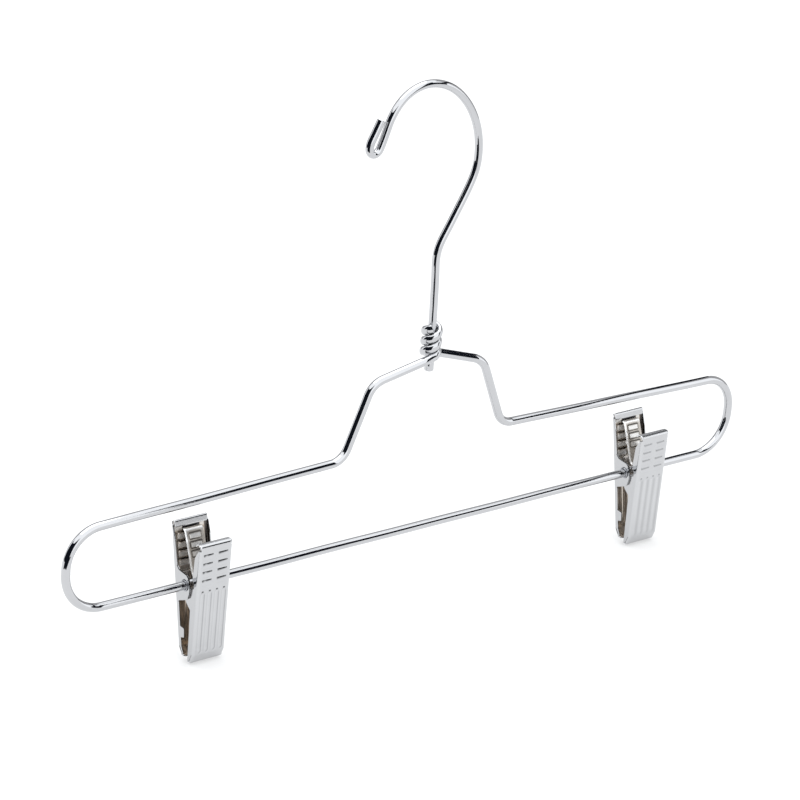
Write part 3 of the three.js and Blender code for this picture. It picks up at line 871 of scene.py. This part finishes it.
# how much painted shade and painted highlight the presses of each clip get: dark scoop lines, a gap in the left
# column's lines, dots at the flute tops, and painted reflection bands along the flutes (offset, width, weight; a
# negative weight is a painted highlight)
PAINTED_LIGHT_BY_CLIP = {"left": {"line": 0.86, "gap": 0.6, "dot": 0.88, "bands": [(1.0, 0.3, 0.36), (-1.0, 0.3, 0.12), (-0.45, 0.35, -0.14), (1.55, 0.3, -0.15)]},
        "right": {"line": 0.56, "gap": 0.0, "dot": 0.52, "bands": [(0.8, 0.7, 0.22), (-0.95, 0.8, -0.18)]}}
front = {side: Jaw(FRONT_W, FRONT_TOP, FRONT_BEND, FRONT_MOUTH, out_f, FRONT_EDGE, 0,
                   (14.7, 11.0, 7.4, 3.7), (-1.2, -28.2), FRONT_ROLL, look).mesh() for side, look in PAINTED_LIGHT_BY_CLIP.items()}
rear = Jaw(REAR_W, REAR_TOP, REAR_BEND, REAR_MOUTH, out_r, REAR_EDGE, PIVOT_HOLE_R,
           (19.2, 15.5, 11.9, 8.2), (3.2, -26.0), REAR_ROLL, PAINTED_LIGHT_BY_CLIP["left"],
           [(2.4, -5.0), (3.3, -2.9), (3.6, -0.8), (3.5, 1.3), (2.7, 3.3), (1.4, 4.6), (-3.6, 5.6), (-4.9, 6.9)]).mesh()


# leaf spring: a rolled strip bent to a V that stands on the pivot tube
class Spring:
    def __init__(self):
        corners = [(-out_r(20.6) - 1.2, 20.95), (6.05, 20.75), (5.4, 19.8), (1.15, 5.2), (0.75, 3.9), (-0.1, 3.05), (-1.1, 3.3),
                   (-1.75, 4.3), (-6.6, 14.6), (out_f(15.8) + 1.4, 15.8)]
        line = resampled(filleted(corners, [0.45, 0.8, 1.0, 1.0, 0.9, 0.9, 1.0, 1.6], 6.0)[:, :2], 0.4)
        self.line = line
        self.along = np.r_[0, np.cumsum(np.linalg.norm(np.diff(line, axis=0), axis=1))]
        tan = np.gradient(line, self.along, axis=0)
        tan /= np.linalg.norm(tan, axis=1)[:, None]
        self.norm = np.stack([-tan[:, 1], tan[:, 0]], 1)
        self.total = self.along[-1]

    def fold(self, u, s, tau):
        p = [np.interp(s, self.along, self.line[:, k]) for k in (0, 1)]
        n = [np.interp(s, self.along, self.norm[:, k]) for k in (0, 1)]
        return np.stack([u, p[0] + n[0] * tau, p[1] + n[1] * tau], 1)

    def press(self, u, s):
        # rolled strip is never quite flat across; shallow boxes stand out on the leg behind
        d = 0.03 * (1 - (2 * u / SPRING_W) ** 2)
        for s0 in (4.6, 8.2, 11.8):
            side = smoothstep(3.1, 2.6, np.abs(u)) * smoothstep(1.35, 0.95, np.abs(s - s0))
            d = d - 0.2 * side
        return d

    def tone(self, u, s):
        # painted shade between the boxes, lighter inside them, painted dark outlines round them, and a painted
        # highlight along the left edge and over the top bend
        d = 0.3 + 0.08 * np.sin(0.7 * u + 0.9 * s) * np.sin(0.4 * s)
        for s0 in (4.6, 8.2, 11.8):
            off = np.hypot(np.maximum(np.abs(u) - 2.4, 0), np.maximum(np.abs(s - s0) - 0.75, 0))
            d = d + (0.1 - d) * smoothstep(0.4, 0.15, off)
            d = np.maximum(d, 0.95 * np.exp(-(((off - 0.55) / np.where(s < s0 - 0.75, 0.5, 0.3)) ** 2)))
        h = SPRING_W / 2
        painted_highlight = np.maximum(smoothstep(h - 0.95, h - 0.6, -u), np.exp(-(((s - 1.9) / 0.5) ** 2)))
        return d * (1 - painted_highlight)

    def mesh(self):
        h = SPRING_W / 2
        loop = soften(np.array([(-h, 0), (h, 0), (h, self.total), (-h, self.total)]), 1.4)
        us = np.linspace(-h + 0.3, h - 0.3, 40)
        ss = np.arange(0.3, self.total - 0.2, 0.2)
        g = np.stack(np.meshgrid(us, ss, indexing="ij"), -1).reshape(-1, 2)
        g = g + 1e-4 * np.stack([np.sin(g[:, 1] * 31.0), np.cos(g[:, 0] * 23.0)], 1)
        return sheet_mesh(loop, [], g, self.fold, self.press, SPRING_T, 0.08, self.tone)


spring = Spring().mesh()


def tube_profile():
    """(x, r): a thin tube whose ends are rolled outwards over the ears."""
    e, rim = TUBE_HALF, TUBE_RIM
    corners = [(0, TUBE_RI), (e, TUBE_RI), (e, TUBE_RIM_R), (e - rim, TUBE_RIM_R), (e - rim, TUBE_RO), (0, TUBE_RO)]
    half = filleted(corners, [0.2, 0.2, 0.2, 0.03], 12)[:, :2]
    inner = half[:-1]
    other = (half * np.array([-1, 1]))[::-1]
    return np.vstack([inner, half[-1:], other[1:-1]])


tube = lathe_x(tube_profile(), 48)

for side in ("left", "right"):
    x, lean = CLIP_X[side], CLIP_LEAN[side]

    v, f, s, uv, tone, brown_and_shade = front[side]
    ob = place(mesh_object(f"{side}_front_jaw_pressed", v, f, [m_jaw, m_in], s, uv, 40, tone), x, lean)
    # the right clip's front jaw gets less of the brown tint and painted shade inside than the left
    painted(ob, "brown_and_shade", brown_and_shade if side == "left" else 0.7 * brown_and_shade)
    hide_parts(f"{side}_front_jaw")
    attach(ob, f"{side}_front")

    v, f, s, uv, tone, brown_and_shade = rear
    back = v * np.array([1, -1, 1])
    turned = [tuple(reversed(t)) for t in f]
    n_loops, loops = 0, []
    for t in f:
        k = len(t)
        loops.append(uv[n_loops:n_loops + k][::-1])
        n_loops += k
    # on the right clip the rear jaw's painted shade is capped at 0.8, so its painted dark ear outline is lighter
    ob = place(mesh_object(f"{side}_rear_jaw_pressed", back, turned, [m_jaw, m_in], s, np.vstack(loops), 40,
                           tone if side == "left" else np.minimum(tone, 0.8)), x, lean)
    # inside the rear jaw the right clip gets less middle painted shade, the left clip more painted shade on its lighter
    # parts
    painted(ob, "brown_and_shade", np.where((brown_and_shade > 0.3) & (brown_and_shade < 0.65), 0.7 * brown_and_shade, brown_and_shade) if side == "right" else np.where(brown_and_shade < 0.3, brown_and_shade + 0.12, brown_and_shade))
    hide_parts(f"{side}_rear_jaw")
    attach(ob, f"{side}_rear")

    v, f, s, uv, tone, brown_and_shade = spring
    ob = place(mesh_object(f"{side}_leaf_spring_strip", v, f, [m_spring], None, uv, 40, tone), x, lean)
    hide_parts(f"{side}_leaf_spring")

    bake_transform(ob)

    v, f, uv = tube
    ob = place(mesh_object(f"{side}_pivot_tube_rolled", v, f, [m_tube], uvs=uv, sharp=40), x, 0.0)
    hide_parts(f"{side}_pivot_tube")
    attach(ob, f"{side}_carrier")


# ---------------------------------------------------------------------------
# Stage: pale floor, soft light, dark flags that only reflections see
# ---------------------------------------------------------------------------
FLOOR_Z = -0.2212


def plane(name, corners, material):
    me = bpy.data.meshes.new(name)
    me.from_pydata([tuple(c) for c in corners], [], [tuple(range(len(corners)))])
    me.materials.append(material)
    me.update()
    o = bpy.data.objects.new(name, me)
    bpy.context.scene.collection.objects.link(o)
    return o


def floor_material():
    m = bpy.data.materials.new("floor_paper")
    m.use_nodes = True
    nt = m.node_tree
    sh = nt.nodes["Principled BSDF"]
    n = noise(nt, coords(nt, "object", (1, 1, 1)), 3.0, 2.0)
    nt.links.new(ramp(nt, n, [(0.3, (0.395, 0.395, 0.395)), (0.7, (0.405, 0.405, 0.405))]), sh.inputs["Base Color"])
    sh.inputs["Roughness"].default_value = 0.9
    sh.inputs["Specular IOR Level"].default_value = 0.0
    sh.inputs["Emission Color"].default_value = (1.0, 1.0, 1.0, 1.0)
    sh.inputs["Emission Strength"].default_value = 0.42
    return m


def flag_material(name, colour):
    m = bpy.data.materials.new(name)
    m.use_nodes = True
    nt = m.node_tree
    nt.nodes.clear()
    out = nt.nodes.new("ShaderNodeOutputMaterial")
    em = nt.nodes.new("ShaderNodeEmission")
    em.inputs["Color"].default_value = tuple(colour) + (1.0,)
    em.inputs["Strength"].default_value = 1.0
    nt.links.new(em.outputs["Emission"], out.inputs["Surface"])
    return m


plane("floor", [(-6, -6, FLOOR_Z), (6, -6, FLOOR_Z), (6, 6, FLOOR_Z), (-6, 6, FLOOR_Z)], floor_material())

m_flag = flag_material("flag_dark", (0.010, 0.012, 0.018))
m_grey = flag_material("flag_grey", (0.55, 0.55, 0.56))
AZ = math.radians(-40.46)


def bearing(az, r, z):
    a = math.radians(az)
    return (r * math.sin(a), -r * math.cos(a), z)


def wall(name, r, az0, az1, z0, z1, material):
    """An upright curved card, bearings counted from -Y towards +X."""
    n = max(2, math.ceil(abs(az1 - az0) / 4))
    az = [az0 + (az1 - az0) * k / n for k in range(n + 1)]
    me = bpy.data.meshes.new(name)
    me.from_pydata([bearing(a, r, z0) for a in az] + [bearing(a, r, z1) for a in az], [],
                   [(k, k + 1, n + 2 + k, n + 1 + k) for k in range(n)])
    me.materials.append(material)
    me.update()
    o = bpy.data.objects.new(name, me)
    bpy.context.scene.collection.objects.link(o)
    return o


flags = [
    wall("flag_left", 1.25, -135, -28, FLOOR_Z, 0.83, m_flag),
    plane("flag_low", [bearing(a, r, FLOOR_Z + 0.001) for a, r in (
        (-95, 0.34), (-75, 0.34), (-64, 0.27), (-56, 0.27), (-48, 0.27), (-40, 0.27), (-34, 0.27), (-30, 0.34))]
          + [bearing(a, 1.25, FLOOR_Z + 0.001) for a in (-30, -52, -75, -95)], m_flag),
    plane("flag_right", [(0.5, y, z) for y, z in (
        (-0.98, -0.20), (-0.70, -0.16), (-0.56, -0.04), (-0.47, 0.03), (-0.41, 0.09), (-0.34, 0.16), (-0.26, 0.215),
        (-0.17, 0.235), (-0.05, 0.25), (0.03, 0.225), (0.12, 0.185), (0.2, 0.12), (0.3, 0.02), (0.37, -0.1),
        (0.42, -0.1), (0.33, 0.09), (0.24, 0.19), (0.14, 0.26), (0.05, 0.29), (-0.1, 0.31), (-0.25, 0.295),
        (-0.32, 0.275), (-0.42, 0.29), (-0.50, 0.35), (-0.45, 0.45), (-0.38, 0.52), (-0.43, 0.58), (-0.58, 0.63),
        (-0.72, 0.58), (-0.82, 0.48), (-0.92, 0.25), (-0.965, 0.0))], m_flag),
    wall("flag_back", 1.6, 72, 208, FLOOR_Z, 1.5, m_grey),
]
for o in flags:
    o.visible_camera = False
    o.visible_diffuse = False
    o.visible_shadow = False
    o.visible_transmission = False
    o.visible_volume_scatter = False


def area(name, loc, aim, size, radiance):
    d = bpy.data.lights.new(name, "AREA")
    d.shape = "RECTANGLE"
    d.size, d.size_y = size
    d.energy = radiance * math.pi * size[0] * size[1]
    o = bpy.data.objects.new(name, d)
    bpy.context.scene.collection.objects.link(o)
    o.location = loc
    z = unit(np.array(loc, float) - np.array(aim, float))
    xax = unit(np.cross((0.0, 1.0, 0.0) if abs(z[1]) < 0.9 else (0.0, 0.0, 1.0), z))
    yax = np.cross(z, xax)
    o.rotation_euler = Matrix((xax, yax, z)).transposed().to_euler()
    return o


area("softbox_top", (0.0, 0.25, 1.35), (0.0, 0.0, -0.1), (1.5, 1.2), 1.9)

world = bpy.data.worlds.new("studio")
world.use_nodes = True
bg = world.node_tree.nodes["Background"]
bg.inputs["Color"].default_value = (0.97, 0.985, 1.0, 1.0)
bg.inputs["Strength"].default_value = 1.65
bpy.context.scene.world = world
bpy.context.scene.view_settings.view_transform = "Standard"
bpy.context.scene.view_settings.look = "None"

# ---------------------------------------------------------------------------
# Camera
# ---------------------------------------------------------------------------
EL, ROLL, DIST, FOCAL_PX = math.radians(21.6), math.radians(4.52), 1.5264, 3754.26
back = np.array([math.sin(AZ) * math.cos(EL), -math.cos(AZ) * math.cos(EL), math.sin(EL)])
right = np.array([math.cos(AZ), math.sin(AZ), 0.0])
up = np.cross(right, -back)
cx = math.cos(ROLL) * right + math.sin(ROLL) * up
cy = -math.sin(ROLL) * right + math.cos(ROLL) * up
cam = bpy.data.cameras.new("camera")
cam.sensor_width = 36.0
cam.lens = FOCAL_PX / 800.0 * 36.0
cam.clip_end = 50.0
cam_ob = bpy.data.objects.new("camera", cam)
bpy.context.scene.collection.objects.link(cam_ob)
eye = np.array([-0.01407, 0.0, -0.12894]) + back * DIST
basis = Matrix((tuple(cx), tuple(cy), tuple(back))).transposed().to_4x4()
cam_ob.matrix_world = Matrix.Translation(tuple(eye)) @ basis
bpy.context.scene.camera = cam_ob
